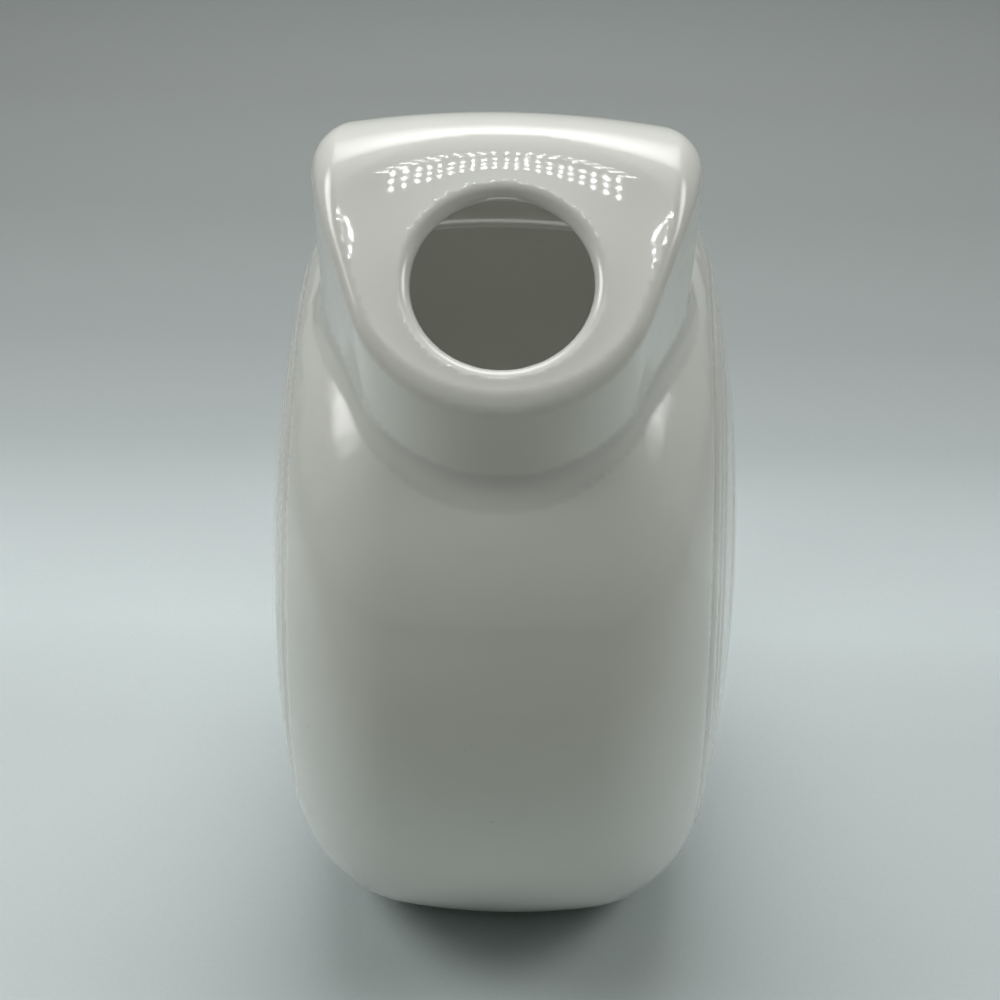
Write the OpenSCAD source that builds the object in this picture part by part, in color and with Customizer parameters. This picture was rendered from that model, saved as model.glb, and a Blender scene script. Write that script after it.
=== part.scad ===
// Disc pitcher: a hollow upright disc, a tilted shield-shaped spout deck with a round mouth,
// and a strap handle that fans out into the two wing tips of the deck.
// Millimetres. X runs across the disc, the spout points to -Y, Z is up from the table at Z = 0.

/* [Disc] */
// Radius of the disc at the middle of its rim
disc_r = 85; // [82:1:88]
// Radius of the crown across the rim
crown_r = 140; // [130:5:170]
// Radius of the shoulders between the rim and the side faces
shoulder_r = 29; // [26:1:32]
// Radius of the domed side faces
face_r = 275; // [260:5:300]
// Half of the thickness of the disc at its middle
half_thick = 51; // [50:0.5:53]
// Thickness of the cast wall
wall = 5; // [4:0.5:5.5]

/* [Side rings] */
// Distance of the outermost ring of each side face inside the rim
ring_in = 19; // [17:1:25]
// Distance from one ring to the next
ring_pitch = 5; // [4:0.5:6]
// Rings in the outer group
ring_count = 3; // [1:1:4]
// Radius of the outer ring of the middle group
inner_ring_r = 42; // [32:1:46]
// Rings in the middle group
inner_ring_count = 2; // [1:1:3]
// Radius of the tool that presses a ring
ring_tool_r = 2.2; // [1.5:0.1:3]
// Depth of a ring
ring_depth = 0.5; // [0.3:0.1:0.8]

/* [Foot] */
// Half of the length of the flat that the pitcher stands on
foot_half = 34; // [30:1:38]
// Width of the foot ring at its narrowest
foot_w = 5.4; // [4:0.2:9]
// Height of the bare foot ring
foot_h = 1.8; // [1:0.2:3]

/* [Mouth and deck] */
// Slope of the deck from level
deck_tilt = 48; // [44:1:52]
// Angle at which the mouth lies in front of the top of the disc
mouth_lean = 36.6; // [36:0.1:37.2]
// Distance of the middle of the mouth outside the rim of the disc
mouth_rise = 15.6; // [15:0.1:16.5]
// Clear radius of the mouth
mouth_r = 17.4; // [15:0.2:18.5]
// Radius of the rolled edge of the mouth
roll_r = 2.5; // [2:0.1:2.8]
// Radius of the nose of the deck
nose_r = 29.9; // [29:0.1:31]
// Distance of the centre of the nose up the deck from the middle of the mouth
nose_back = 5; // [4:0.5:6]
// Angle at which the sides of the deck flare
flare = 18; // [15:1:20]
// Distance of the ridge up the deck from the middle of the mouth
ridge_back = 31.1; // [30:0.1:33]
// Radius of the ridge arc
ridge_r = 51; // [48:1:56]
// Rounding of the ridge
ridge_soft = 2; // [1:0.5:3]
// Deepest dip of the deck as a share of its width beside the mouth
dip_share = 0.12; // [0:0.02:0.2]
// Width of deck at which the dip starts
dip_start = 6; // [4:1:8]

/* [Wings] */
// Half of the width across the wing tips
wing_half = 38.6; // [37:0.2:40]
// Distance of the wing tips behind the middle of the mouth
wing_back = 24; // [22:1:26]
// Length over which the wings narrow to the strap
wing_run = 66; // [60:1:72]
// Rounding of the outline where the flare meets a wing tip
wing_soft = 6; // [2:1:8]
// Edge radius of the deck at the nose
rim_r = 3; // [2.5:0.5:3.5]
// Edge radius of the wings and of the strap
wing_edge_r = 5; // [4:0.2:5.2]
// Height of the top above the middle of the mouth
apex_up = 23.3; // [22:0.1:24]
// Distance of the top behind the middle of the mouth
apex_back = 28.5; // [27:0.5:30]
// Radius of the bend over the top
apex_r = 30; // [28:1:34]
// How much further back the bend lies at the wing tips
apex_shift = 3.5; // [2:0.5:5]
// How much lower the bend lies at the wing tips
wing_drop = 2.5; // [1:0.5:4]

/* [Neck] */
// How far the neck is drawn in under the nose
neck_in = 4.3; // [3:0.1:5]
// How far the neck is drawn in under the wings
wing_in = 1.8; // [1.2:0.1:2.4]
// Reach of the blend from the neck onto the disc
skirt = 4.5; // [3:0.5:5]
// Distance of the seam between collar and handle behind the middle of the mouth
seam_back = 40; // [38:0.5:41]

/* [Handle] */
// Half of the width of the strap
strap_half = 14.5; // [13:0.5:16]
// Thickness of the strap
strap_t = 10.6; // [10.4:0.2:12]
// Crown of the outer face of the strap
strap_crown = 0.8; // [0.4:0.1:1.2]
// Slope at which the top leaves the deck
tail_a = 14; // [13:0.5:15]
// Slope at the end of the long top run
run_a = 21; // [20:0.5:22]
// How far the handle stands out behind the disc
handle_reach = 43; // [40:1:46]
// Radius of the rear bend
bend_r = 45; // [42:1:48]
// Radius of the lower run back to the disc
lower_r = 62; // [59:1:66]
// Slope at which the strap meets the disc
end_a = 150; // [147:1:153]
// Growth of the strap where it lands on the disc
land_share = 0.16; // [0.05:0.01:0.2]
// Gap under the strap at the place where it is free of the disc
lift_gap = 4.6; // [4:0.2:6]
// Length over which the strap leaves the disc
lift_run = 20; // [16:1:24]

/* [Quality] */
// Steps round the nose of the collar, for half of it
nose_steps = 8; // [5:1:10]
// Steps along each side of the collar
side_steps = 13; // [8:1:16]

/* [Hidden] */
$fn = 128;

glaze = "#f1f0ea";
bare_clay = "#d9cfc0";

// Places that follow from the sizes above
axis_z = sqrt(pow(disc_r, 2) - pow(foot_half, 2));
mouth_y = -(disc_r + mouth_rise) * sin(mouth_lean);
mouth_z = axis_z + (disc_r + mouth_rise) * cos(mouth_lean);
wing_y = mouth_y + wing_back;
apex_y = mouth_y + apex_back;
apex_z = mouth_z + apex_up;
seam_y = mouth_y + seam_back;
ring_r = disc_r - ring_in;
crest_r = mouth_r + roll_r;
cut = disc_r + half_thick;

// Start and radius of the long top run, which ends where the rear bend begins
run_start = [apex_y + apex_r * sin(tail_a), apex_z - apex_r * (1 - cos(tail_a))];
run_reach = disc_r + handle_reach - bend_r * (1 - sin(run_a)) - run_start.x;
run_r = run_reach / (sin(run_a) - sin(tail_a));

// The shoulder circles stand a hair over the arcs that they join, so that all of them cross cleanly
bridge_over = 0.01;
crown_share = 0.97;
crown_steps = 8;

// Centre of the shoulder circle, which touches the crown and the side face from inside
crown_c = [disc_r - crown_r, 0];
face_c = [0, half_thick - face_r];
centre_gap = norm(face_c - crown_c);
along = (face_c - crown_c) / centre_gap;
reach = (pow(crown_r - shoulder_r, 2) - pow(face_r - shoulder_r, 2) + pow(centre_gap, 2)) / (2 * centre_gap);
rise = sqrt(pow(crown_r - shoulder_r, 2) - pow(reach, 2));
shoulder_c = crown_c + reach * along + rise * [-along.y, along.x];
crown_dir = (shoulder_c - crown_c) / norm(shoulder_c - crown_c);
face_dir = (shoulder_c - face_c) / norm(shoulder_c - face_c);

// Round recess inside the foot ring
flat_half = shoulder_c.y + sqrt(pow(shoulder_r, 2) - pow(axis_z - shoulder_c.x, 2));
recess_r = min(flat_half, foot_half) - foot_w;

// Shares of the way from the side to the middle for the rows on the flat seam of the collar
seam_shares = [0.03, 0.08, 0.15, 0.3, 0.5, 0.75, 1];

// Shares along the deck from its edge to the ridge and from there to the mouth, and the place of
// the ridge where the deck is too narrow for it
edge_shares = [0.25, 0.5, 0.75, 1];
deck_shares = [0.12, 0.28, 0.46, 0.64, 0.8, 0.92];
split_share = 0.25;

// Shares up the neck, and how far its curve follows the disc below and leans to the rim above
wall_shares = [for (k = [0:8]) k / 8];
skirt_share = 0.9;
neck_share = 0.3;

// Angles round an edge and round the roll of the mouth
round_angles = [90, 68, 45, 22, 0];
roll_angles = [0, 30, 60, 90, 120, 150, 180];

function lerp(a, b, t) = a + (b - a) * t;
function clamp01(t) = min(max(t, 0), 1);
function ease(t) = let (c = clamp01(t)) c * c * (3 - 2 * c);
function soft_min(a, b, k) = let (h = max(k - abs(a - b), 0) / k) min(a, b) - h * h * k / 4;
function bezier(a, b, c, d, t) =
    pow(1 - t, 3) * a + 3 * pow(1 - t, 2) * t * b + 3 * (1 - t) * t * t * c + pow(t, 3) * d;
function unit(v) = v / norm(v);

// Radius of the disc at a distance x from its middle plane
function rim_at(x) =
    let (a = abs(x))
    a < crown_r * crown_dir.y
        ? crown_c.x + sqrt(pow(crown_r, 2) - a * a)
        : shoulder_c.x + sqrt(max(pow(shoulder_r, 2) - pow(a - shoulder_c.y, 2), 0));

// Height of the upper skin of the disc over a point of the plan
function disc_top(x, y) = axis_z + sqrt(max(pow(rim_at(x), 2) - y * y, 0));
function on_disc(p) = [p.x, p.y, disc_top(p.x, p.y)];

// Height of the deck plane
function deck_z(y) = mouth_z + (y - mouth_y) * tan(deck_tilt);

// Height of the skin that runs over the top of the deck into the handle
function fan_z(x, y) =
    let (
        far = pow(x / wing_half, 2),
        top = apex_z - wing_drop * far,
        dy = y - apex_y - apex_shift * far,
        back = apex_r * sin(tail_a),
        front = -apex_r * sin(90 - deck_tilt)
    )
    dy > back ? top - apex_r * (1 - cos(tail_a)) - (dy - back) * tan(tail_a) - pow(dy - back, 2) / (2 * run_r)
    : dy < front ? top - apex_r * (1 - cos(90 - deck_tilt)) + (dy - front) * tan(90 - deck_tilt)
    : top - apex_r + sqrt(pow(apex_r, 2) - dy * dy);
function top_z(x, y) = soft_min(fan_z(x, y), deck_z(y), ridge_soft);

// Half of the width of the deck, wings and strap at a place along Y
function flare_half(y) =
    (nose_r + ((y - mouth_y) / cos(deck_tilt) - nose_back) * sin(flare)) / cos(flare);
function wing_half_at(y) =
    strap_half + (wing_half - strap_half) * (1 + cos(180 * clamp01((y - wing_y) / wing_run))) / 2;
function side_half(y) = soft_min(flare_half(y), wing_half_at(y), wing_soft);
function edge_r(y) = lerp(rim_r, wing_edge_r, ease((y - mouth_y + nose_r) / (wing_y - mouth_y + nose_r)));
function edge_drop(d, r) = d < r ? r - sqrt(pow(r, 2) - pow(r - max(d, 0), 2)) : 0;
function neck_inset(y) = lerp(wing_in, neck_in, pow(clamp01((wing_y - y) / (wing_y - mouth_y + nose_r - nose_back)), 1.5));

// Outline of the collar in plan, from the nose to the seam and across to the middle
nose_end_y = mouth_y + (nose_back - nose_r * sin(flare)) * cos(deck_tilt);
seam_half = side_half(seam_y);
corner = nose_steps + side_steps;
nose_line = [
    for (i = [0:nose_steps - 1])
    let (a = (90 - flare) * i / nose_steps)
    [nose_r * sin(a), mouth_y + (nose_back - nose_r * cos(a)) * cos(deck_tilt)]
];
side_line = [
    for (i = [0:side_steps])
    let (y = lerp(nose_end_y, seam_y, i / side_steps))
    [side_half(y), y]
];
seam_line = [for (s = seam_shares) [seam_half * (1 - s), seam_y]];
outline = concat(nose_line, side_line, seam_line);
rows = len(outline);

// Outward direction of the outline at a row, for its skin and for the inset of its inner wall
function tangent(i) = i == 0 ? [1, 0] : unit(outline[i + 1] - outline[i - 1]);
function skin_dir(i) = i >= corner ? [1, 0] : let (t = tangent(i)) [t.y, -t.x];
function inset_dir(i) = i > corner ? [0, 1] : i == corner ? [1, 1] : skin_dir(i);

// Point of the deck frame: across, up the slope and off the plane
function deck_point(u, s, n) =
    [u, mouth_y + s * cos(deck_tilt) - n * sin(deck_tilt), mouth_z + s * sin(deck_tilt) + n * cos(deck_tilt)];

// Skin of the neck beside the place [x, y]: from the disc, through the blend, up to under the rim
function neck_skin(o, dir, top_edge, inset, out) =
    let (
        crease = on_disc(o - dir * inset),
        foot = on_disc(o + dir * (out - inset)),
        head = [o.x, o.y, top_edge]
    )
    [for (t = wall_shares) bezier(foot, lerp(foot, crease, skirt_share), lerp(crease, head, neck_share), head, t)];

// One row of the collar: a closed line from the disc up over the deck, through the mouth and back
function side_skin(i) =
    let (o = outline[i], r = edge_r(o.y))
    neck_skin(o, skin_dir(i), top_z(o.x, o.y) - r, neck_inset(o.y), skirt);
corner_skin = side_skin(corner);
function seam_skin(i) =
    let (
        share = 1 - seam_shares[i - corner - 1],
        low = corner_skin[0],
        high = corner_skin[len(corner_skin) - 1],
        o = outline[i],
        top = top_z(o.x, o.y) - edge_drop(seam_half - o.x, edge_r(seam_y))
    )
    [
        for (p = corner_skin)
        let (x = p.x * share, t = (p.z - low.z) / (high.z - low.z))
        [x, seam_y, lerp(disc_top(low.x * share, seam_y), top, t)]
    ];
function rim(i) =
    let (o = outline[i], r = edge_r(o.y), dir = i > corner ? [0, 1] : skin_dir(i))
    [
        for (b = round_angles)
        if (b < 90)
        let (
            p = o - dir * r * (1 - sin(b)),
            drop = i > corner ? edge_drop(side_half(p.y) - p.x, r) : r * (1 - cos(b))
        )
        [p.x, p.y, top_z(p.x, p.y) - drop]
    ];
function deck(i, from) =
    let (
        r = edge_r(outline[i].y),
        q = [from.x, (from.y - mouth_y) / cos(deck_tilt)],
        th = atan2(q.x, q.y),
        c = ridge_back - ridge_r,
        ridge = c * cos(th) + sqrt(pow(ridge_r, 2) - pow(c * sin(th), 2)),
        edge = norm(q),
        base = min(ridge, edge),
        split = min(ridge, lerp(edge, crest_r, split_share)),
        dip = dip_share * max(base - crest_r - dip_start, 0),
        spans = concat(
            [for (s = edge_shares) lerp(edge, split, s)],
            [for (s = deck_shares) lerp(split, crest_r, s)]
        )
    )
    [
        for (d = spans)
        let (
            x = d * sin(th),
            y = mouth_y + d * cos(th) * cos(deck_tilt),
            t = clamp01((base - d) / (base - crest_r)),
            drop = i > corner ? edge_drop(side_half(y) - x, r) : 0
        )
        [x, y, top_z(x, y) - drop - dip * 4 * t * (1 - t)]
    ];
function mouth(from) =
    let (th = atan2(from.x, (from.y - mouth_y) / cos(deck_tilt)))
    [
        for (c = roll_angles)
        let (d = crest_r - roll_r * sin(c))
        deck_point(d * sin(th), d * cos(th), -roll_r * (1 - cos(c)))
    ];
function inner_plan(i) =
    let (o = outline[i], inset = neck_inset(o.y) + wall)
    i < corner ? o - skin_dir(i) * inset : [(seam_half - inset) * o.x / seam_half, seam_y - wall];
function throat(i, from) =
    let (
        low = on_disc(inner_plan(i)),
        o = outline[i],
        k = i < corner ? o - skin_dir(i) * (wall + edge_r(o.y) / 2) : inner_plan(i),
        knee = [k.x, k.y, top_z(k.x, k.y) - wall / cos(deck_tilt) - wall / 2]
    )
    concat(
        [for (t = [1 / 3, 2 / 3, 1]) lerp(from, knee, t)],
        [for (t = [1 / 3, 2 / 3, 1]) lerp(knee, low, t)]
    );
function under(i, from, to) = [for (t = [1 / 3, 2 / 3]) on_disc(lerp([from.x, from.y], [to.x, to.y], t))];
function collar_row(i) =
    let (
        skin = i > corner ? seam_skin(i) : side_skin(i),
        edge = rim(i),
        top = deck(i, edge[len(edge) - 1]),
        roll = mouth(top[len(top) - 1]),
        inside = throat(i, roll[len(roll) - 1])
    )
    concat(skin, edge, top, roll, inside, under(i, inside[len(inside) - 1], skin[0]));
function mirrored(line) = [for (p = line) [-p.x, p.y, p.z]];

// Half rows from the nose to the middle of the seam, and the same rows mirrored back to the nose
half_rows = [for (i = [0:rows - 1]) collar_row(i)];
collar_rows = concat(half_rows, [for (i = [rows - 2:-1:1]) mirrored(half_rows[i])]);

// Outer line of the handle in the middle plane: place and slope at a share of each run
run_c = run_start - run_r * [sin(tail_a), cos(tail_a)];
run_end = run_c + run_r * [sin(run_a), cos(run_a)];
bend_c = run_end - bend_r * [sin(run_a), cos(run_a)];
lower_c = bend_c + [bend_r - lower_r, 0];
seam_a = asin((seam_y - run_c.x) / run_r);
run_steps = 20;
bend_steps = 10;
lower_steps = 8;
stations = concat(
    [for (i = [0:run_steps]) let (a = lerp(seam_a, run_a, i / run_steps)) [run_c, run_r, a]],
    [for (i = [1:bend_steps]) let (a = lerp(run_a, 90, i / bend_steps)) [bend_c, bend_r, a]],
    [for (i = [1:lower_steps]) let (a = lerp(90, end_a, i / lower_steps)) [lower_c, lower_r, a]]
);
function outer(s) = s[0] + s[1] * [sin(s[2]), cos(s[2])];

// Place where the strap is free of the disc: the first with the wanted gap under it
lift_steps = 340;
free_places = [
    for (k = [0:lift_steps])
    let (y = disc_r * k / lift_steps)
    if (fan_z(0, y) - strap_t - disc_top(0, y) > lift_gap) y
];
lift_end = free_places[0];

// Half section of the handle where it stands on the disc, and where it is free of it
across_shares = [0, 0.2, 0.4, 0.6, 0.8];
function fused_section(y) =
    let (
        half = side_half(y),
        r = wing_edge_r,
        flat = [for (s = across_shares) let (x = (half - r) * s) [x, y, fan_z(x, y)]],
        edge = [
            for (k = [len(round_angles) - 1:-1:1])
            let (b = round_angles[k], x = half - r * (1 - sin(b)))
            [x, y, fan_z(x, y) - r * (1 - cos(b))]
        ],
        skin = neck_skin([half, y], [1, 0], fan_z(half, y) - r, neck_inset(y), skirt),
        low = skin[0],
        flank = [for (k = [len(skin) - 1:-1:0]) skin[k]],
        under = [for (k = [len(across_shares) - 1:-1:0]) on_disc([low.x * across_shares[k], y])]
    )
    concat(flat, edge, flank, under);
function free_section(s, grow) =
    let (
        p = outer(s),
        half = strap_half * grow,
        t = strap_t * grow,
        r = wing_edge_r,
        crown = strap_crown,
        up = [sin(s[2]), cos(s[2])],
        raised = (t - strap_t) / 2,
        flat = [for (f = across_shares) let (x = (half - r) * f) [x, raised - crown * pow(x / half, 2)]],
        edge = [
            for (k = [len(round_angles) - 1:-1:1])
            let (b = round_angles[k], x = half - r * (1 - sin(b)))
            [x, raised - crown * pow(x / half, 2) - r * (1 - cos(b))]
        ],
        flank = [
            for (k = wall_shares)
            let (b = 90 * k, x = half - (t / 2) * (1 - cos(b)), high = raised - crown - r)
            [x, lerp(high, raised - t, sin(b))]
        ],
        low = flank[len(flank) - 1],
        under = [for (k = [len(across_shares) - 1:-1:0]) [low.x * across_shares[k], low.y]]
    )
    [for (q = concat(flat, edge, flank, under)) [q.x, p.x + q.y * up.x, p.y + q.y * up.y]];
function section(s) =
    let (
        y = outer(s).x,
        free = s[2] > run_a ? 1 : ease((y - lift_end + lift_run) / lift_run),
        a = free < 1 ? fused_section(y) : [],
        b = free > 0 ? free_section(s, 1) : []
    )
    free == 0 ? a : free == 1 ? b : [for (k = [0:len(a) - 1]) lerp(a[k], b[k], free)];

// The last section, carried along the strap until it meets the disc
function carried(p, dir) =
    let (
        b = p.y * dir.x + (p.z - axis_z) * dir.y,
        c = p.y * p.y + pow(p.z - axis_z, 2) - pow(rim_at(p.x), 2),
        t = -b - sqrt(max(b * b - c, 0))
    )
    [p.x, p.y + t * dir.x, p.z + t * dir.y];
last = stations[len(stations) - 1];
heading = [cos(last[2]), -sin(last[2])];
landing = [for (p = free_section(last, 1 + land_share)) carried(p, heading)];
half_sections = concat([for (s = stations) section(s)], [landing]);
half_count = len(half_sections[0]);
handle_rows = [
    for (h = half_sections)
    concat(h, [for (k = [half_count - 2:-1:1]) [-h[k].x, h[k].y, h[k].z]])
];

// Solid through rows of points: closed into a ring, or with a cap at each end
module loft(loft_rows, ring) {
    n = len(loft_rows);
    m = len(loft_rows[0]);
    last_row = ring ? n - 1 : n - 2;
    sides = [
        for (i = [0:last_row], k = [0:m - 1])
        let (
            a = i * m + k,
            b = i * m + (k + 1) % m,
            c = ((i + 1) % n) * m + (k + 1) % m,
            d = ((i + 1) % n) * m + k
        )
        each [[a, b, c], [a, c, d]]
    ];
    caps = ring ? [] : [
        [for (k = [m - 1:-1:0]) k],
        [for (k = [0:m - 1]) (n - 1) * m + k]
    ];
    polyhedron(points = [for (r = loft_rows) each r], faces = concat(sides, caps), convexity = 8);
}

// Half outline of the disc, as radius and distance from the middle plane, inset by a wall. The
// crown and the side faces are clipped along the chord of each shoulder, which its circle bridges.
module half_outline(inset) {
    rim_point = crown_c + (crown_r - inset) * crown_dir;
    face_point = face_c + (face_r - inset) * face_dir;
    slope = (face_point.y - rim_point.y) / (rim_point.x - face_point.x);
    crown_a = crown_share * atan2(crown_dir.y, crown_dir.x);
    crown = [
        for (k = [crown_steps:-1:-crown_steps])
        let (a = crown_a * k / crown_steps)
        crown_c + (crown_r - inset) * [cos(a), sin(a)]
    ];
    top = crown[0].y + crown[0].x * slope;
    intersection() {
        translate(face_c) circle(r = face_r - inset);
        translate(-face_c) circle(r = face_r - inset);
        polygon(concat([[0, top]], crown, [[0, -top]]));
    }
    for (side = [1, -1])
        translate([shoulder_c.x, side * shoulder_c.y]) circle(r = shoulder_r + bridge_over - inset);
}

// Place of the tool that presses a ring of radius r into a side face
function ring_place(r) =
    face_c + (face_r + ring_tool_r - ring_depth) * [r / face_r, sqrt(1 - pow(r / face_r, 2))];

module ring_tools() {
    outer_rings = [for (i = [0:ring_count - 1]) ring_r - i * ring_pitch];
    inner_rings = [for (i = [0:inner_ring_count - 1]) inner_ring_r - i * ring_pitch];
    for (r = concat(outer_rings, inner_rings), side = [1, -1])
        let (p = ring_place(r)) translate([p.x, side * p.y]) circle(r = ring_tool_r, $fn = 24);
}

module turned_about_x() {
    translate([0, 0, axis_z]) rotate([90, 0, 0]) rotate([0, 90, 0]) rotate_extrude($fn = 180) children();
}

module disc_body() {
    hole = [for (i = [0:rows - 1]) inner_plan(i)];
    hole_line = concat(hole, [for (i = [rows - 2:-1:1]) [-hole[i].x, hole[i].y]]);
    color(glaze) difference() {
        turned_about_x() difference() {
            half_outline(0);
            ring_tools();
        }
        intersection() {
            turned_about_x() half_outline(wall);
            translate([-cut, -cut, foot_h + wall]) cube([2 * cut, 2 * cut, 2 * cut]);
        }
        translate([-cut, -cut, foot_h - cut]) cube([2 * cut, 2 * cut, cut]);
        translate([0, 0, axis_z]) linear_extrude(height = cut) polygon(hole_line);
    }
}

module spout_collar() {
    color(glaze) loft(collar_rows, true);
}

module handle() {
    color(glaze) loft(handle_rows, false);
}

module foot_ring() {
    color(bare_clay) difference() {
        intersection() {
            turned_about_x() half_outline(0);
            translate([-cut, -cut, 0]) cube([2 * cut, 2 * cut, foot_h]);
        }
        translate([0, 0, -foot_h]) cylinder(r = recess_r, h = foot_h * 3);
    }
}

disc_body();
spout_collar();
handle();
foot_ring();
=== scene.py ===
"""Disc pitcher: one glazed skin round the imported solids, a bare foot, and a plain studio."""
import math

import bmesh
import bpy
import numpy as np
from mathutils import Matrix, Vector

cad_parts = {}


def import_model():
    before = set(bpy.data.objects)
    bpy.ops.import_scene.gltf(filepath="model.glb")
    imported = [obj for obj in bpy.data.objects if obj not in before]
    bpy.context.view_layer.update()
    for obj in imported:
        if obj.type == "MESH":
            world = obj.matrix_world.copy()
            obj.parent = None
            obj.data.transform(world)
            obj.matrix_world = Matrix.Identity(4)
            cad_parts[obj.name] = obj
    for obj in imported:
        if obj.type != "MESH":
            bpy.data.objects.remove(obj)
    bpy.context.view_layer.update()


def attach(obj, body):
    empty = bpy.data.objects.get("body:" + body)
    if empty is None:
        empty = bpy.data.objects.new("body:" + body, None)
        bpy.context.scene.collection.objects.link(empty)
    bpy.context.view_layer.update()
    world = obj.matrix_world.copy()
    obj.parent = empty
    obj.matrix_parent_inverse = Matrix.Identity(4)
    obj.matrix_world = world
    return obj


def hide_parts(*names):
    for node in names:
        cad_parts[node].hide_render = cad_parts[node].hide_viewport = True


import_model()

MM = 0.001

# Disc, in millimetres
DISC_R = 85.0
CROWN_R = 140.0
SHOULDER_R = 29.0
FACE_R = 275.0
HALF_THICK = 51.0
WALL = 5.0
RINGS = (66.0, 61.0, 56.0, 42.0, 37.0)
RING_DEPTH = 0.45
RING_WIDTH = 1.1

# Foot
FOOT_HALF = 34.0
RECESS_R = 28.0
FOOT_H = 1.8
FOOT_EDGE = 1.0
AXIS_Z = math.sqrt(DISC_R**2 - FOOT_HALF**2)

# Deck and mouth
TILT = math.radians(48)
MOUTH_LEAN = math.radians(36.6)
MOUTH_RISE = 15.6
MOUTH_Y = -(DISC_R + MOUTH_RISE) * math.sin(MOUTH_LEAN)
MOUTH_Z = AXIS_Z + (DISC_R + MOUTH_RISE) * math.cos(MOUTH_LEAN)
MOUTH_R = 17.4
ROLL_R = 2.5
CREST_R = MOUTH_R + ROLL_R
NOSE_R = 29.9
NOSE_BACK = 5.0
FLARE = math.radians(18)
RIDGE_BACK = 31.1
RIDGE_R = 51.0
RIDGE_SOFT = 2.0
DIP_SHARE = 0.02
DECK_CROWN_R = 350.0
SPOUT_FLOOR_Z = AXIS_Z + DISC_R / 4

# Wings and neck
WING_HALF = 38.6
WING_Y = MOUTH_Y + 24.0
WING_RUN = 66.0
WING_SOFT = 6.0
RIM_R = 1.9
WING_EDGE_R = 5.0
EDGE_RUN = 18.0
APEX_Z = MOUTH_Z + 23.3
APEX_Y = MOUTH_Y + 28.5
APEX_R = 30.0
APEX_SHIFT = 3.5
WING_DROP = 2.5
NECK_IN = 4.3
WING_IN = 1.8
NECK_IN_POWER = 1.5
NECK_BELOW = 1.15
SEAM_Y = MOUTH_Y + 40.0
NECK_FILLET = 2.4
HOLLOW_FILLET = 8.0
HOLLOW_EDGE_R = 0.6 * WALL
LIP_INNER_R = 0.96 * ROLL_R
BORE_DEPTH = 1.5 * WALL

# Handle
STRAP_HALF = 14.5
STRAP_T = 10.6
STRAP_CROWN = 0.8
CROWN_CAP = 1.5
TAIL_A = math.radians(14)
RUN_A = math.radians(21)
HANDLE_REACH = 43.0
BEND_R = 45.0
LOWER_R = 62.0
END_A = math.radians(150)
LAND_SHARE = 0.16
LIFT_START = 34.2
LIFT_END = 54.2

RUN_START = np.array([
    APEX_Y + APEX_R * math.sin(TAIL_A),
    APEX_Z - APEX_R * (1 - math.cos(TAIL_A)),
])
RUN_REACH = DISC_R + HANDLE_REACH - BEND_R * (1 - math.sin(RUN_A)) - RUN_START[0]
RUN_R = RUN_REACH / (math.sin(RUN_A) - math.sin(TAIL_A))

# Grid of the skin, steps of slope and curvature, and guards against division by nought
SPACING = 1.2
GRID_LOW = (-HALF_THICK - 1.7, -DISC_R - 2.3, -1.1)
GRID_HIGH = (HALF_THICK + 2.0, DISC_R + HANDLE_REACH + 3.0, APEX_Z + 2.0)
STEP = 0.05
BEND_STEP = 0.8
LEAST_SLOPE = 0.5
LEAST_SQUARE = 0.05
TINY = 1e-9


# Fields: below zero inside, in millimetres
def ease(t):
    t = np.clip(t, 0, 1)
    return t * t * (3 - 2 * t)


def lerp(a, b, t):
    return a + (b - a) * t


def soft_min(a, b, k):
    h = np.maximum(k - np.abs(a - b), 0) / k
    return np.minimum(a, b) - h * h * k / 4


def round_cut(a, b, r):
    """Both fields at once, with an edge of radius r where they cross."""
    return np.minimum(np.maximum(a, b), -r) + np.hypot(np.maximum(a + r, 0), np.maximum(b + r, 0))


def round_join(a, b, r):
    """Either field, with a fillet of radius r where they cross."""
    return np.maximum(np.minimum(a, b), r) - np.hypot(np.maximum(r - a, 0), np.maximum(r - b, 0))


def shoulder_place():
    """Centre of the shoulder circle, and the directions to where it touches crown and side face."""
    crown_c = np.array([DISC_R - CROWN_R, 0.0])
    face_c = np.array([0.0, HALF_THICK - FACE_R])
    gap = np.linalg.norm(face_c - crown_c)
    along = (face_c - crown_c) / gap
    near, far = CROWN_R - SHOULDER_R, FACE_R - SHOULDER_R
    reach = (near**2 - far**2 + gap**2) / (2 * gap)
    rise = math.sqrt(near**2 - reach**2)
    centre = crown_c + reach * along + rise * np.array([-along[1], along[0]])
    return crown_c, face_c, centre, (centre - crown_c) / near, (centre - face_c) / far


CROWN_C, FACE_C, SHOULDER_C, CROWN_DIR, FACE_DIR = shoulder_place()


def disc_field(x, y, z):
    rho = np.hypot(y, z - AXIS_Z)
    a = np.abs(x)
    u, v = rho - SHOULDER_C[0], a - SHOULDER_C[1]
    crown = np.hypot(rho - CROWN_C[0], a - CROWN_C[1]) - CROWN_R
    face = np.hypot(rho - FACE_C[0], a - FACE_C[1]) - FACE_R
    past_crown = CROWN_DIR[0] * v - CROWN_DIR[1] * u > 0
    past_face = FACE_DIR[0] * v - FACE_DIR[1] * u < 0
    return np.where(past_crown & past_face, np.hypot(u, v) - SHOULDER_R, np.maximum(crown, face))


def ring_grooves(x, y, z):
    """Depth of the rings pressed into the side faces."""
    rho = np.hypot(y, z - AXIS_Z)
    depth = sum(np.exp(-(((rho - r) / RING_WIDTH) ** 2)) for r in RINGS)
    return RING_DEPTH * depth * (np.abs(x) > SHOULDER_C[1])


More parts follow.
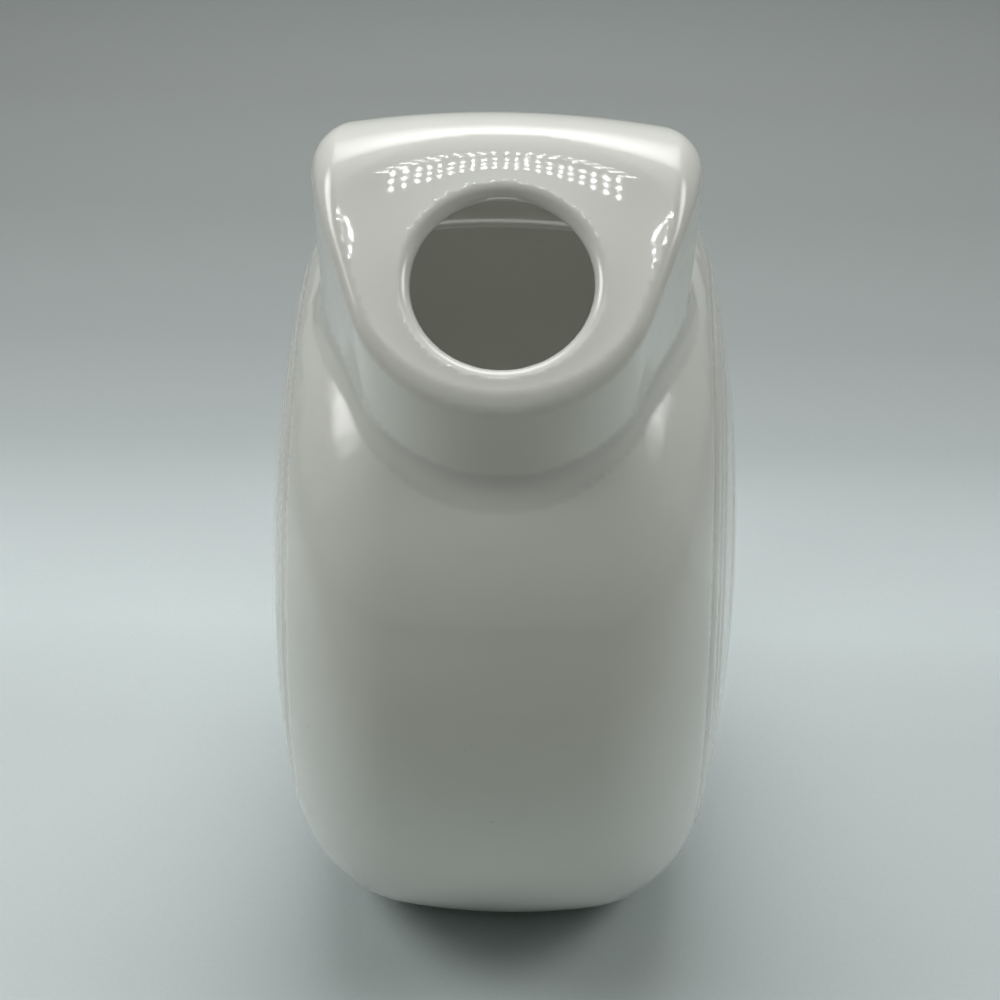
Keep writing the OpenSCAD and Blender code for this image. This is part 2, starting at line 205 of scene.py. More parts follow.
def rim_at(x):
    """Radius of the disc at a distance x from its middle plane."""
    a = np.abs(x)
    crown = CROWN_C[0] + np.sqrt(np.maximum(CROWN_R**2 - a * a, 0))
    shoulder = SHOULDER_C[0] + np.sqrt(np.maximum(SHOULDER_R**2 - (a - SHOULDER_C[1]) ** 2, 0))
    return np.where(a < CROWN_R * CROWN_DIR[1], crown, shoulder)


def disc_top(x, y):
    return AXIS_Z + np.sqrt(np.maximum(rim_at(x) ** 2 - y * y, 0))


def fan_z(x, y):
    """Height of the skin that runs over the top of the deck into the handle."""
    far = np.minimum((x / WING_HALF) ** 2, CROWN_CAP)
    top = APEX_Z - WING_DROP * far
    dy = y - APEX_Y - APEX_SHIFT * far
    back = APEX_R * math.sin(TAIL_A)
    front = -APEX_R * math.cos(TILT)
    past = dy - back
    behind = top - APEX_R * (1 - math.cos(TAIL_A)) - past * math.tan(TAIL_A) - past**2 / (2 * RUN_R)
    before = top - APEX_R * (1 - math.sin(TILT)) + (dy - front) / math.tan(TILT)
    over = top - APEX_R + np.sqrt(np.maximum(APEX_R**2 - dy * dy, 0))
    return np.where(dy > back, behind, np.where(dy < front, before, over))


def wing_half_at(y):
    turn = np.clip((y - WING_Y) / WING_RUN, 0, 1)
    return STRAP_HALF + (WING_HALF - STRAP_HALF) * (1 + np.cos(math.pi * turn)) / 2


def up_deck(y):
    """Distance up the slope of the deck from the middle of the mouth."""
    return (y - MOUTH_Y) / math.cos(TILT)


def side_half(y):
    flared = (NOSE_R + (up_deck(y) - NOSE_BACK) * math.sin(FLARE)) / math.cos(FLARE)
    return soft_min(flared, wing_half_at(y), WING_SOFT)


def edge_r(y):
    return lerp(RIM_R, WING_EDGE_R, ease((y - WING_Y + EDGE_RUN) / EDGE_RUN))


def neck_inset(y):
    share = np.clip((WING_Y - y) / (WING_Y - MOUTH_Y + NOSE_R - NOSE_BACK), 0, 1)
    return lerp(WING_IN, NECK_IN, share**NECK_IN_POWER)


def plan_shape(x, y):
    """Outline of the deck and wings from above, scaled as it lies in the deck."""
    a = np.abs(x)
    v = up_deck(y) - NOSE_BACK
    nose = math.cos(FLARE) * v + math.sin(FLARE) * a < 0
    return np.where(nose, np.hypot(a, v) - NOSE_R, (a - side_half(y)) * math.cos(FLARE))


def plan_field(x, y):
    """Distance to the outline from above."""
    slope_x = (plan_shape(x + STEP, y) - plan_shape(x - STEP, y)) / (2 * STEP)
    slope_y = (plan_shape(x, y + STEP) - plan_shape(x, y - STEP)) / (2 * STEP)
    return plan_shape(x, y) / np.maximum(np.hypot(slope_x, slope_y), LEAST_SLOPE)


def edge_table():
    """Distance from the mouth to the edge of the deck, by direction up the slope."""
    turns = np.linspace(0, math.pi / 2 - FLARE, 30)
    nose = np.stack([NOSE_R * np.sin(turns), NOSE_BACK - NOSE_R * np.cos(turns)], 1)
    y = np.linspace(MOUTH_Y + nose[-1, 1] * math.cos(TILT), WING_Y + WING_RUN, 80)
    side = np.stack([side_half(y), up_deck(y)], 1)
    line = np.vstack([nose, side])
    inset = edge_r(MOUTH_Y + line[:, 1] * math.cos(TILT))
    turn = np.arctan2(line[:, 0], line[:, 1])
    far = np.hypot(line[:, 0], line[:, 1]) - inset
    order = np.argsort(turn)
    return turn[order], far[order]


EDGE_TURN, EDGE_FAR = edge_table()


def deck_dip(x, y):
    """How far the deck dips between the roll of the mouth and its edge or ridge."""
    v = up_deck(y)
    d = np.hypot(x, v)
    turn = np.arctan2(np.abs(x), v)
    c = RIDGE_BACK - RIDGE_R
    ridge = c * np.cos(turn) + np.sqrt(RIDGE_R**2 - (c * np.sin(turn)) ** 2)
    base = soft_min(ridge, np.interp(turn, EDGE_TURN, EDGE_FAR), WING_SOFT)
    deep = DIP_SHARE * np.maximum(base - CREST_R, 0)
    t = np.clip((base - d) / np.maximum(base - CREST_R, 1), 0, 1)
    return deep * 4 * t * (1 - t) + x * x / (2 * DECK_CROWN_R)


def top_z(x, y):
    deck = MOUTH_Z + (y - MOUTH_Y) * math.tan(TILT)
    return soft_min(fan_z(x, y), deck, RIDGE_SOFT) - deck_dip(x, y)


def top_field(x, y, z):
    slope_x = (top_z(x + STEP, y) - top_z(x - STEP, y)) / (2 * STEP)
    slope_y = (top_z(x, y + STEP) - top_z(x, y - STEP)) / (2 * STEP)
    return (z - top_z(x, y)) / np.sqrt(1 + slope_x**2 + slope_y**2)


def drawn_in(x, y, z):
    """How far the neck is drawn in at a height below the edge of the deck."""
    high = top_z(x, y) - edge_r(y)
    share = (high - z) / np.maximum(high - disc_top(x, y), 1)
    return neck_inset(y) * np.clip(share, 0, NECK_BELOW)


def arc_point(centre, radius, angle):
    return centre + radius * np.array([math.sin(angle), math.cos(angle)])


RUN_C = arc_point(RUN_START, -RUN_R, TAIL_A)
BEND_C = arc_point(arc_point(RUN_C, RUN_R, RUN_A), -BEND_R, RUN_A)
LOWER_C = BEND_C + np.array([BEND_R - LOWER_R, 0.0])
END_POINT = arc_point(LOWER_C, LOWER_R, END_A)
END_OUT = np.array([math.sin(END_A), math.cos(END_A)])
HEADING = np.array([math.cos(END_A), -math.sin(END_A)])


def landing_run():
    """How far past its last bend the outer face of the strap meets the disc."""
    p = END_POINT - np.array([0.0, AXIS_Z])
    b = p @ HEADING
    return -b - math.sqrt(max(b * b - (p @ p - DISC_R**2), 0))


LAND_RUN = landing_run()


def strap_field(x, y, z):
    past_run = (y - BEND_C[0]) * math.cos(RUN_A) - (z - BEND_C[1]) * math.sin(RUN_A) > 0
    low = z < BEND_C[1]
    run = np.hypot(y - RUN_C[0], z - RUN_C[1]) - RUN_R
    bend = np.hypot(y - BEND_C[0], z - BEND_C[1]) - BEND_R
    lower = np.hypot(y - LOWER_C[0], z - LOWER_C[1]) - LOWER_R
    beyond = (y - END_POINT[0]) * HEADING[0] + (z - END_POINT[1]) * HEADING[1]
    tail = (y - END_POINT[0]) * END_OUT[0] + (z - END_POINT[1]) * END_OUT[1]
    out = np.where(low, np.where(beyond > 0, tail, lower), np.where(past_run, bend, run))
    grow = 1 + LAND_SHARE * ease((beyond + LOWER_R / 2) / (LAND_RUN + LOWER_R / 2)) * low
    half, thick, r = STRAP_HALF * grow, STRAP_T * grow, WING_EDGE_R
    depth = -out + (grow - 1) * STRAP_T / 2 - STRAP_CROWN * np.minimum((x / half) ** 2, CROWN_CAP)
    u = np.abs(x) - (half - r)
    v = np.abs(depth - thick / 2) - (thick / 2 - r)
    section = np.hypot(np.maximum(u, 0), np.maximum(v, 0)) + np.minimum(np.maximum(u, v), 0) - r
    return np.where(low, np.maximum(section, beyond - LAND_RUN), section)


def upper_field(x, y, z):
    """Collar, wings and handle without the disc."""
    side = plan_field(x, y) + drawn_in(x, y, z)
    deck = round_cut(top_field(x, y, z), side, edge_r(y))
    deck = np.maximum(deck, SPOUT_FLOOR_Z - z)
    free = ease((y - LIFT_START) / (LIFT_END - LIFT_START))
    return lerp(deck, strap_field(x, y, z), free)


def mouth_bore(x, y, z):
    up = (y - MOUTH_Y) * math.cos(TILT) + (z - MOUTH_Z) * math.sin(TILT)
    off = -(y - MOUTH_Y) * math.sin(TILT) + (z - MOUTH_Z) * math.cos(TILT)
    return np.maximum(np.hypot(x, up) - MOUTH_R, -off - BORE_DEPTH)


def hollow_parts(x, y, z):
    """The hollows of the disc and of the neck."""
    belly = round_cut(disc_field(x, y, z) + WALL, FOOT_H + WALL - z, WALL)
    side = plan_field(x, y) + drawn_in(x, y, z)
    neck = round_cut(side + WALL, top_field(x, y, z) + WALL, HOLLOW_EDGE_R)
    neck = round_cut(neck, y - SEAM_Y + WALL, HOLLOW_EDGE_R)
    return belly, np.maximum(neck, SPOUT_FLOOR_Z - z)


def pitcher_field(x, y, z):
    disc = disc_field(x, y, z) + ring_grooves(x, y, z)
    outer = round_join(disc, upper_field(x, y, z), NECK_FILLET)
    outer = round_cut(outer, -z, FOOT_EDGE)
    recess = np.maximum(np.hypot(x, y) - RECESS_R, z - FOOT_H)
    outer = round_cut(outer, -recess, FOOT_EDGE / 2)
    belly, neck = hollow_parts(x, y, z)
    hollow = round_join(belly, neck, HOLLOW_FILLET)
    lipped = round_cut(outer, -mouth_bore(x, y, z), ROLL_R)
    return round_cut(lipped, -hollow, LIP_INNER_R)


# The skin as a mesh
def surface_net(values, low):
    """One vertex in each grid cell that the surface crosses, and a quad round each crossed edge."""
    inside = values < 0
    size = np.array(values.shape) - 1
    corners = [np.array([i & 1, i >> 1 & 1, i >> 2 & 1]) for i in range(8)]
    count = sum(
        inside[c[0]:c[0] + size[0], c[1]:c[1] + size[1], c[2]:c[2] + size[2]].astype(np.uint8)
        for c in corners
    )
    crossed = (count > 0) & (count < 8)
    index = np.full(crossed.shape, -1, np.int64)
    index[crossed] = np.arange(np.count_nonzero(crossed))
    cells = np.argwhere(crossed)
    total = np.zeros((len(cells), 3))
    weight = np.zeros(len(cells))
    for a in corners:
        for axis in range(3):
            if a[axis]:
                continue
            b = a + np.eye(3, dtype=int)[axis]
            fa = values[tuple((cells + a).T)]
            fb = values[tuple((cells + b).T)]
            cross = (fa < 0) != (fb < 0)
            t = np.where(cross, fa / np.where(cross, fa - fb, 1), 0)
            total += cross[:, None] * (a + t[:, None] * (b - a))
            weight += cross
    points = (cells + total / weight[:, None]) * SPACING + low
    quads = []
    for axis in range(3):
        first = [slice(None)] * 3
        second = [slice(None)] * 3
        first[axis], second[axis] = slice(0, -1), slice(1, None)
        start, end = inside[tuple(first)], inside[tuple(second)]
        spots = np.argwhere(start != end)
        u, v = np.eye(3, dtype=int)[(axis + 1) % 3], np.eye(3, dtype=int)[(axis + 2) % 3]
        ring = [index[tuple((spots - s).T)] for s in (0 * u, u, u + v, v)]
        quad = np.stack(ring, 1)
        entering = ~start[tuple(spots.T)]
        quad[entering] = quad[entering][:, ::-1]
        quads.append(quad)
    return points, np.vstack(quads)


def gradient(p):
    x, y, z = p.T
    return np.stack([
        pitcher_field(x + STEP, y, z) - pitcher_field(x - STEP, y, z),
        pitcher_field(x, y + STEP, z) - pitcher_field(x, y - STEP, z),
        pitcher_field(x, y, z + STEP) - pitcher_field(x, y, z - STEP),
    ], 1) / (2 * STEP)


def settle(p, rounds=4):
    """Moves points onto the surface."""
    for _ in range(rounds):
        g = gradient(p)
        f = pitcher_field(*p.T)
        move = g * (f / np.maximum((g * g).sum(1), LEAST_SQUARE))[:, None]
        far = np.linalg.norm(move, axis=1)
        p = p - move * np.minimum(1, SPACING / 2 / np.maximum(far, TINY))[:, None]
    return p


def bend_at(p):
    """Sum of the two curvatures of the surface, above zero on convex edges, in 1/mm."""
    h = BEND_STEP
    x, y, z = p.T
    around = sum(
        pitcher_field(x + h * a, y + h * b, z + h * c)
        for a, b, c in ((1, 0, 0), (-1, 0, 0), (0, 1, 0), (0, -1, 0), (0, 0, 1), (0, 0, -1))
    )
    return (around - 6 * pitcher_field(x, y, z)) / h**2


def skin_mesh():
    axes = [np.arange(a, b, SPACING) for a, b in zip(GRID_LOW, GRID_HIGH)]
    values = pitcher_field(axes[0][:, None, None], axes[1][None, :, None], axes[2][None, None, :])
    points, quads = surface_net(values, np.array(GRID_LOW))
    points = settle(points)
    mesh = bpy.data.meshes.new("skin")
    mesh.from_pydata(points.tolist(), [], quads.tolist())
    bm = bmesh.new()
    bm.from_mesh(mesh)
    bpy.data.meshes.remove(mesh)
    bmesh.ops.bisect_plane(
        bm, geom=bm.verts[:] + bm.edges[:] + bm.faces[:], dist=1e-5,
        plane_co=(0, 0, FOOT_H - STEP), plane_no=(0, 0, 1),
    )
    return bm


def piece_of(centre):
    """Which sub-part a place on the skin belongs to: 0 disc, 1 collar, 2 handle, 3 foot."""
    x, y, z = centre.T
    belly, neck = hollow_parts(x, y, z)
    upper = upper_field(x, y, z)
    disc = disc_field(x, y, z)
    inner = np.abs(np.minimum(belly, neck)) < np.abs(np.minimum(upper, disc))
    above = np.where(inner, neck < belly, upper < disc)
    bored = np.abs(mouth_bore(x, y, z)) < ROLL_R
    above = above | (bored & (z > MOUTH_Z - DISC_R / 3) & (y < SEAM_Y))
    label = np.where(above, np.where((y < SEAM_Y) | inner, 1, 2), 0)
    return np.where(z < FOOT_H - STEP, 3, label)


def make_pieces():
    bm = skin_mesh()
    bm.faces.ensure_lookup_table()
    centres = np.array([f.calc_center_median() for f in bm.faces])
    labels = piece_of(centres)
    pieces = []
    for label, name in enumerate(("glazed_disc", "glazed_collar", "glazed_handle", "bare_foot")):
        part = bm.copy()
        part.faces.ensure_lookup_table()
        spare = [part.faces[int(i)] for i in np.nonzero(labels != label)[0]]
        bmesh.ops.delete(part, geom=spare, context="FACES")
        mesh = bpy.data.meshes.new(name)
        part.to_mesh(mesh)
        part.free()
        flat = np.empty(len(mesh.vertices) * 3)
        mesh.vertices.foreach_get("co", flat)
        points = flat.reshape(-1, 3)
        normals = gradient(points)
        normals /= np.maximum(np.linalg.norm(normals, axis=1), TINY)[:, None]
        bend = mesh.attributes.new("bend", "FLOAT", "POINT")
        bend.data.foreach_set("value", bend_at(points).astype(np.float32))
        mesh.vertices.foreach_set("co", (points * MM).ravel())
        mesh.polygons.foreach_set("use_smooth", [True] * len(mesh.polygons))
        mesh.normals_split_custom_set_from_vertices(normals.tolist())
        mesh.update()
        piece = bpy.data.objects.new(name, mesh)
        bpy.context.scene.collection.objects.link(piece)
        pieces.append(piece)
    bm.free()
    return pieces


# Glaze: linear colours, scales in 1/m, heights in metres
GLAZE_TONES = ((0.80, 0.81, 0.745, 1), (0.83, 0.84, 0.78, 1))
CLOUD_SCALE = 22.0
THIN_TONE = (0.72, 0.70, 0.64, 1)
THIN_BEND = (0.06, 0.42)
THIN_SHARE = 0.55
WORN_SCALE = 260.0
WORN_SHARE = (0.45, 1.0)
# Concave creases are darker, partly for glaze that pools there and partly as painted shade, as
# under the neck
POOLED_GLAZE_AND_SHADE_TONE = (0.60, 0.61, 0.58, 1)
POOLED_GLAZE_AND_SHADE_BEND = (-0.05, -0.3)
POOLED_GLAZE_AND_SHADE_SHARE = 0.6
SPECK_TONE = (0.42, 0.35, 0.27, 1)
SPECK_SCALE = 190.0
SPECK_EDGE = (0.055, 0.03)
SPECK_FROM = 0.93
SPECK_SHARE = 0.5
SPECK_PIT = -0.00002
GLAZE_ROUGHNESS = (0.3, 0.38)
GLOSS_SCALE = 90.0
GLAZE_IOR = 1.5
COAT_IOR = 1.52
COAT_ROUGHNESS = 0.03
WAVE_STRETCH = (1.0, 0.7, 0.55)
WAVE_SCALE = 150.0
WAVE_HIGH = 0.0005
WAVE_LOW = 0.00001
WAVE_ASIDE = (0.018, 0.036)
WAVE_BOTTOM = (0.085, 0.115)
WAVE_TOP = (0.168, 0.158)
WAVE_UNDER_DECK = (0.006, 0.014)
PEEL_SCALE = 420.0
PEEL_HIGH = 0.0000012

# Clay and paper
CLAY_TONES = ((0.60, 0.53, 0.45, 1), (0.70, 0.64, 0.56, 1))
CLAY_DIRT = (0.50, 0.45, 0.39, 1)
CLAY_DIRT_SPAN = (0.5, 0.75)
CLAY_DIRT_SHARE = (0.0, 0.4)
CLAY_PATCH_SCALE = 60.0
CLAY_ROUGHNESS = (0.75, 0.9)
CLAY_GRAIN_HIGH = 0.00006
GRAIN_SCALE = 900.0
PAPER_GRAIN = (0.97, 1.0)
PAPER_ROUGHNESS = 0.75
FLOOR_R = 3.0

# Part of the range of a noise that is spread over a change
NOISE_SPAN = (0.3, 0.7)


# Materials
class Nodes:
    """Short hand for building one node tree."""

    def __init__(self, tree):
        self.tree = tree

    def add(self, kind, inputs=None, **settings):
        node = self.tree.nodes.new(kind)
        for name, value in settings.items():
            setattr(node, name, value)
        for name, value in (inputs or {}).items():
            self.put(value, node.inputs[name])
        return node

    def put(self, value, socket):
        if isinstance(value, bpy.types.NodeSocket):
            self.tree.links.new(value, socket)
        else:
            socket.default_value = value

    def math(self, operation, *values):
        node = self.tree.nodes.new("ShaderNodeMath")
        node.operation = operation
        for i, value in enumerate(values):
            self.put(value, node.inputs[i])
        return node.outputs[0]

    def noise(self, where, scale, detail=2.0, rough=0.5):
        made = self.add("ShaderNodeTexNoise", {
            "Vector": where, "Scale": scale, "Detail": detail, "Roughness": rough,
        })
        return made.outputs["Fac"]

    def span(self, value, low, high, start=0.0, end=1.0):
        made = self.add("ShaderNodeMapRange", {
            "Value": value, "From Min": low, "From Max": high, "To Min": start, "To Max": end,
        })
        return made.outputs["Result"]

    def mix(self, share, a, b):
        made = self.add("ShaderNodeMix", data_type="RGBA")
        self.put(share, made.inputs[0])
        self.put(a, made.inputs[6])
        self.put(b, made.inputs[7])
        return made.outputs[2]


def new_material(name):
    material = bpy.data.materials.new(name)
    material.use_nodes = True
    nodes = Nodes(material.node_tree)
    shader = material.node_tree.nodes["Principled BSDF"]
    return material, nodes, shader


def glaze_waves(n, where):
    """Height of the slow waves: strong on both shoulders below the deck, and faint elsewhere."""
    place = n.add("ShaderNodeSeparateXYZ", {"Vector": where})
    aside = n.span(n.math("ABSOLUTE", place.outputs["X"]), *WAVE_ASIDE)
    bottom = n.span(place.outputs["Z"], *WAVE_BOTTOM)
    high = n.math("MULTIPLY", bottom, n.span(place.outputs["Z"], *WAVE_TOP))
    slope = n.math("MULTIPLY", place.outputs["Y"], math.tan(TILT))
    over_deck = n.math("SUBTRACT", place.outputs["Z"], slope)
    deck_level = (MOUTH_Z - MOUTH_Y * math.tan(TILT)) * MM
    under = n.span(over_deck, deck_level - WAVE_UNDER_DECK[0], deck_level - WAVE_UNDER_DECK[1])
    high = n.math("MULTIPLY", high, under)
    uneven = n.math("ADD", n.math("MULTIPLY", n.math("MULTIPLY", aside, high), WAVE_HIGH), WAVE_LOW)
    drawn = n.add("ShaderNodeMapping", {"Vector": where, "Scale": WAVE_STRETCH}).outputs["Vector"]
    return n.math("MULTIPLY", n.noise(drawn, WAVE_SCALE, 1.5), uneven)


def glaze_material():
    """Glossy white glaze, with faint waves, thin edges, pooled glaze and painted shade in creases,
    and a few fine specks.
    """
    material, n, shader = new_material("white_glaze")
    where = n.add("ShaderNodeTexCoord").outputs["Object"]
    bend = n.add("ShaderNodeAttribute", attribute_name="bend").outputs["Fac"]
    cloud = n.noise(where, CLOUD_SCALE, 3.0)
    tone = n.mix(n.span(cloud, *NOISE_SPAN), *GLAZE_TONES)
    worn = n.span(n.noise(where, WORN_SCALE, 3.0), *NOISE_SPAN, *WORN_SHARE)
    thin = n.math("MULTIPLY", n.span(bend, *THIN_BEND), worn)
    tone = n.mix(n.math("MULTIPLY", thin, THIN_SHARE), tone, THIN_TONE)
    # Creases darkened: pooled glaze and painted shade
    pooled_and_shaded = n.span(bend, *POOLED_GLAZE_AND_SHADE_BEND)
    tone = n.mix(n.math("MULTIPLY", pooled_and_shaded, POOLED_GLAZE_AND_SHADE_SHARE), tone, POOLED_GLAZE_AND_SHADE_TONE)
    spots = n.add("ShaderNodeTexVoronoi", {
        "Vector": where, "Scale": SPECK_SCALE, "Randomness": 1.0,
    })
    chosen = n.add("ShaderNodeSeparateColor", {"Color": spots.outputs["Color"]}).outputs[0]
    dot = n.span(spots.outputs["Distance"], *SPECK_EDGE)
    speck = n.math("MULTIPLY", dot, n.math("GREATER_THAN", chosen, SPECK_FROM))
    tone = n.mix(n.math("MULTIPLY", speck, SPECK_SHARE), tone, SPECK_TONE)
    n.put(tone, shader.inputs["Base Color"])
    rough = n.span(n.noise(where, GLOSS_SCALE, 4.0), *NOISE_SPAN, *GLAZE_ROUGHNESS)
    n.put(rough, shader.inputs["Roughness"])
    shader.inputs["IOR"].default_value = GLAZE_IOR
    shader.inputs["Coat Weight"].default_value = 1.0
    shader.inputs["Coat Roughness"].default_value = COAT_ROUGHNESS
    shader.inputs["Coat IOR"].default_value = COAT_IOR
    waves = glaze_waves(n, where)
    peel = n.math("MULTIPLY", n.noise(where, PEEL_SCALE, 2.0), PEEL_HIGH)
    pits = n.math("MULTIPLY", speck, SPECK_PIT)
    height = n.math("ADD", n.math("ADD", waves, peel), pits)
    bump = n.add("ShaderNodeBump", {"Height": height, "Strength": 1.0, "Distance": 1.0})
    n.put(bump.outputs["Normal"], shader.inputs["Normal"])
    n.put(bump.outputs["Normal"], shader.inputs["Coat Normal"])
    return material


def clay_material():
    """Bare fired clay: dry, finely grained, wiped smooth and a little dirty where it rubs."""
    material, n, shader = new_material("bare_clay")
    where = n.add("ShaderNodeTexCoord").outputs["Object"]
    grain = n.noise(where, GRAIN_SCALE, 4.0, 0.6)
    patch = n.noise(where, CLAY_PATCH_SCALE, 3.0)
    tone = n.mix(n.span(grain, *NOISE_SPAN), *CLAY_TONES)
    tone = n.mix(n.span(patch, *CLAY_DIRT_SPAN, *CLAY_DIRT_SHARE), tone, CLAY_DIRT)
    n.put(tone, shader.inputs["Base Color"])
    n.put(n.span(grain, *NOISE_SPAN, *CLAY_ROUGHNESS), shader.inputs["Roughness"])
    height = n.math("MULTIPLY", grain, CLAY_GRAIN_HIGH)
    bump = n.add("ShaderNodeBump", {"Height": height, "Strength": 1.0, "Distance": 1.0})
    n.put(bump.outputs["Normal"], shader.inputs["Normal"])
    return material


# Studio
# Depth behind the middle of the foot, in metres, and colour of the paper there, with light and
# shade painted into it
FLOOR_PAINTED_LIGHT_TONES = (
    (-0.70, (0.66, 0.71, 0.70)),
    (-0.35, (0.56, 0.59, 0.57)),
    (-0.20, (0.36, 0.37, 0.33)),
    (-0.09, (0.65, 0.72, 0.72)),
    (0.04, (0.64, 0.71, 0.71)),
    (0.10, (0.71, 0.79, 0.79)),
    (0.15, (0.64, 0.71, 0.71)),
    (0.23, (0.47, 0.52, 0.52)),
    (0.33, (0.41, 0.45, 0.445)),
    (0.50, (0.41, 0.45, 0.44)),
    (0.70, (0.52, 0.56, 0.55)),
    (0.95, (0.74, 0.80, 0.78)),
)

# Cards: name, strength, radius and place in metres, and what each is turned towards
CARDS = (
    ("key", 4.1, 0.55, (0.0, 0.3, 0.85), (0, 0, 0.08)),
    ("top", 1.1, 0.4, (0.0, -0.12, 0.9), (0, 0, 0.08)),
    ("left", 6.0, 0.3, (-0.6, -0.1, 0.62), (0, 0, 0.06)),
    ("right", 5.2, 0.26, (0.6, -0.1, 0.62), (0, 0, 0.06)),
)
CARD_CORE_SHARE = 0.25

# Diodes: three arcs about one centre
DIODE_CENTRE = Vector((-0.01, -0.257, 0.52))
DIODE_ARCS = (0.081, 0.086, 0.091)
DIODE_HALF = 0.0013
DIODE_TURN = math.radians(5)
DIODES_ASIDE = 10
DIODE_STRENGTH = 30.0

# Lamp inside the vessel: watts, size and place in metres, and what it is turned towards
INNER_LAMP = (0.008, 0.04, (0.0, -0.045, 0.05), (0, 0.01, 0.13))

# Light from all around, and what the camera and the reflections see of it
WORLD_LIGHT = (0.05, 0.052, 0.048, 1)
WORLD_SEEN = (0.25, 0.27, 0.26, 1)


def inner_lamp(energy, size, place, aim):
    """Small lamp inside the vessel, in place of the light that the thin walls let through."""
    lamp = bpy.data.lights.new("inner", "AREA")
    lamp.energy = energy
    lamp.size = size
    obj = bpy.data.objects.new("inner", lamp)
    obj.location = place
    obj.rotation_euler = (Vector(aim) - Vector(place)).to_track_quat("-Z", "Y").to_euler()
    bpy.context.scene.collection.objects.link(obj)


def stage_object(name, bm, material):
    """Turns a bmesh into an object of the studio."""
    mesh = bpy.data.meshes.new(name)
    bm.to_mesh(mesh)
    bm.free()
    mesh.materials.append(material)
    obj = bpy.data.objects.new(name, mesh)
    bpy.context.scene.collection.objects.link(obj)
    return obj


def glow_material(name):
    """A material that only glows, and its Emission node."""
    material = bpy.data.materials.new(name)
    material.use_nodes = True
    tree = material.node_tree
    tree.nodes.remove(tree.nodes["Principled BSDF"])
    glow = tree.nodes.new("ShaderNodeEmission")
    tree.links.new(glow.outputs[0], tree.nodes["Material Output"].inputs["Surface"])
    return material, Nodes(tree), glow


def diode_lamp():
    """Arcs of small bright diodes over the front of the pitcher, seen only as glints."""
    bm = bmesh.new()
    for radius in DIODE_ARCS:
        for i in range(-DIODES_ASIDE, DIODES_ASIDE + 1):
            x = DIODE_CENTRE.x + radius * math.sin(i * DIODE_TURN)
            y = DIODE_CENTRE.y + radius * math.cos(i * DIODE_TURN)
            bm.faces.new([
                bm.verts.new((x + DIODE_HALF * a, y + DIODE_HALF * b, DIODE_CENTRE.z))
                for a, b in ((-1, -1), (-1, 1), (1, 1), (1, -1))
            ])
    material, _, glow = glow_material("diode")
    glow.inputs["Strength"].default_value = DIODE_STRENGTH
    obj = stage_object("diode_lamp", bm, material)
    obj.visible_camera = False


def card(name, strength, radius, place, aim):
    """Round glowing card with a soft edge, seen in reflections but not by the camera."""
    material, n, glow = glow_material(name)
    where = n.add("ShaderNodeTexCoord").outputs["Object"]
    far = n.add("ShaderNodeVectorMath", {0: where}, operation="LENGTH").outputs["Value"]
    fade = n.add("ShaderNodeMapRange", {
        "Value": far, "From Min": radius, "From Max": CARD_CORE_SHARE * radius,
        "To Min": 0.0, "To Max": strength,
    }, interpolation_type="SMOOTHSTEP").outputs["Result"]
    n.put(fade, glow.inputs["Strength"])
    bm = bmesh.new()
    bmesh.ops.create_circle(bm, cap_ends=True, cap_tris=True, segments=48, radius=radius)
    obj = stage_object(name, bm, material)
    obj.location = place
    obj.rotation_euler = (Vector(aim) - Vector(place)).to_track_quat("Z", "Y").to_euler()
    obj.visible_camera = False


def floor():
    """Pale paper, brightest beside the pitcher, as the sheet in the photograph is: its light and
    shade are painted into its colour.
    """
    material, n, shader = new_material("floor_paper")
    where = n.add("ShaderNodeTexCoord").outputs["Object"]
    place = n.add("ShaderNodeSeparateXYZ", {"Vector": where})
    first, last = FLOOR_PAINTED_LIGHT_TONES[0][0], FLOOR_PAINTED_LIGHT_TONES[-1][0]
    # Painted light and shade: brighter where the lamps fall, and darker bands of painted shade in
    # front of and behind the pitcher
    ramp = n.add("ShaderNodeValToRGB", {"Fac": n.span(place.outputs["Y"], first, last)})
    stops = ramp.color_ramp.elements
    for depth, _ in FLOOR_PAINTED_LIGHT_TONES[1:-1]:
        stops.new((depth - first) / (last - first))
    for stop, (_, tone) in zip(stops, FLOOR_PAINTED_LIGHT_TONES):
        stop.color = (*tone, 1)
    grain = n.span(n.noise(where, GRAIN_SCALE, 3.0), *NOISE_SPAN, *PAPER_GRAIN)
    tone = n.add("ShaderNodeVectorMath", {0: ramp.outputs["Color"], 1: grain}, operation="MULTIPLY")
    n.put(tone.outputs[0], shader.inputs["Base Color"])
    shader.inputs["Roughness"].default_value = PAPER_ROUGHNESS
    bm = bmesh.new()
    bmesh.ops.create_circle(bm, cap_ends=True, segments=96, radius=FLOOR_R)
    obj = stage_object("floor", bm, material)


def world():
    """Dim light from all around, shown paler to the camera and in reflections."""
    made = bpy.data.worlds.new("studio")
    made.use_nodes = True
    bpy.context.scene.world = made
    n = Nodes(made.node_tree)
    back = made.node_tree.nodes["Background"]
    path = n.add("ShaderNodeLightPath")
    seen = n.math("MAXIMUM", path.outputs["Is Camera Ray"], path.outputs["Is Glossy Ray"])
    seen = n.math("MAXIMUM", seen, path.outputs["Is Transmission Ray"])
    shade = n.mix(seen, WORLD_LIGHT, WORLD_SEEN)
    n.put(shade, back.inputs["Color"])
    back.inputs["Strength"].default_value = 1.0


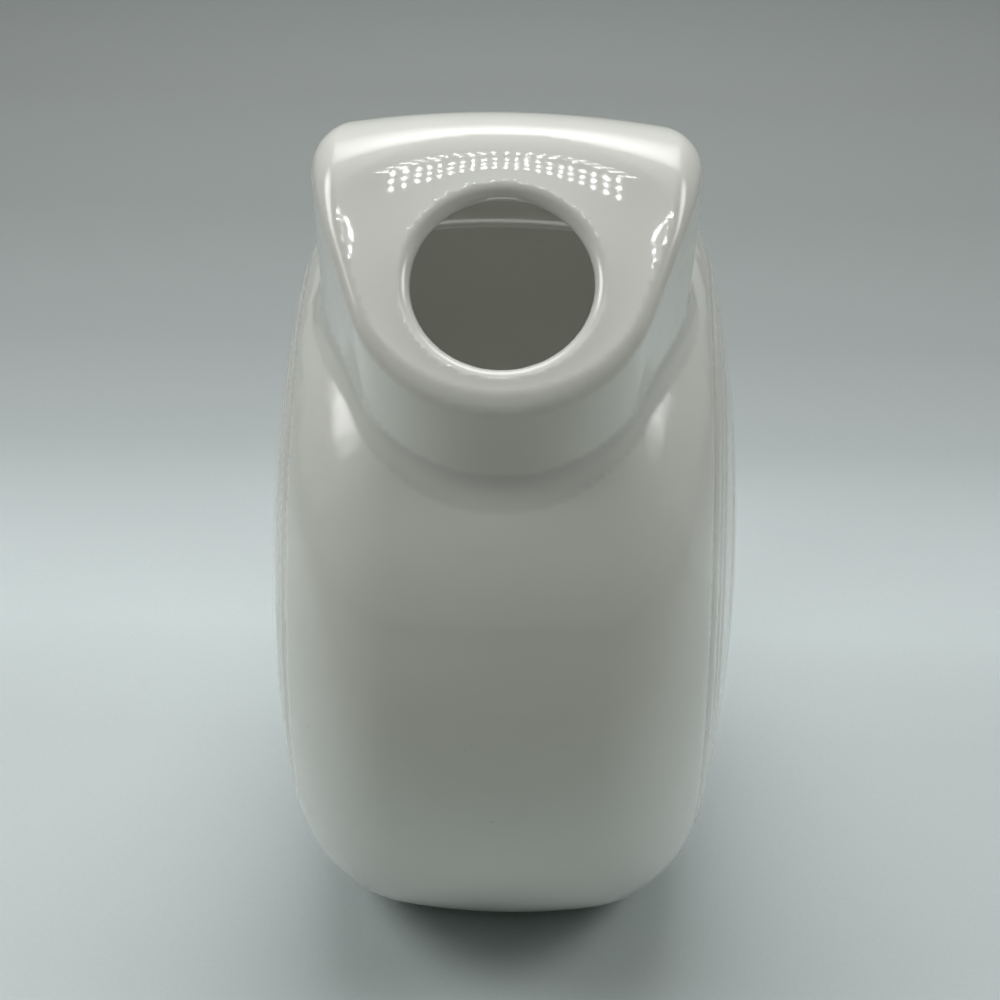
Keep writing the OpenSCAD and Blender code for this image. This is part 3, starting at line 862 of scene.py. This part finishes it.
# Camera, as it stood for the photograph
CAMERA_RISE = math.radians(25.51)
CAMERA_YAW = math.radians(1.5)
CAMERA_ROLL = math.radians(0.69)
CAMERA_FAR = 0.4986
CAMERA_TARGET = Vector((0, 0, 0.078))
CAMERA_FOCUS_PX = 2198
IMAGE_PX = 1000
SENSOR_MM = 36.0
DISC_PX = (507.5, 530.4)


def camera():
    back = Vector((
        math.sin(CAMERA_YAW) * math.cos(CAMERA_RISE),
        -math.cos(CAMERA_YAW) * math.cos(CAMERA_RISE),
        math.sin(CAMERA_RISE),
    ))
    ahead = -back
    right = ahead.cross(Vector((0, 0, 1))).normalized()
    up = right.cross(ahead)
    across = (DISC_PX[0] - IMAGE_PX / 2) / CAMERA_FOCUS_PX
    down = (DISC_PX[1] - IMAGE_PX / 2) / CAMERA_FOCUS_PX
    ahead = (ahead - right * across + up * down).normalized()
    right = ahead.cross(up).normalized()
    up = right.cross(ahead)
    c, s = math.cos(CAMERA_ROLL), math.sin(CAMERA_ROLL)
    turned_right, turned_up = right * c + up * s, up * c - right * s
    data = bpy.data.cameras.new("camera")
    data.sensor_width = SENSOR_MM
    data.lens = SENSOR_MM * CAMERA_FOCUS_PX / IMAGE_PX
    data.clip_start, data.clip_end = 0.01, 20.0
    obj = bpy.data.objects.new("camera", data)
    obj.matrix_world = Matrix((
        (turned_right.x, turned_up.x, -ahead.x, 0),
        (turned_right.y, turned_up.y, -ahead.y, 0),
        (turned_right.z, turned_up.z, -ahead.z, 0),
        (0, 0, 0, 1),
    ))
    obj.location = CAMERA_TARGET + back * CAMERA_FAR
    bpy.context.scene.collection.objects.link(obj)
    bpy.context.scene.camera = obj


camera()
glaze = glaze_material()
clay = clay_material()
nodes = ("disc_body", "spout_collar", "handle", "foot_ring")
for piece, node in zip(make_pieces(), nodes):
    foot = node == "foot_ring"
    piece.data.materials.append(clay if foot else glaze)
    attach(piece, "root")
    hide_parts(node)

floor()
world()
diode_lamp()
for values in CARDS:
    card(*values)
inner_lamp(*INNER_LAMP)

bpy.context.scene.view_settings.view_transform = "Standard"
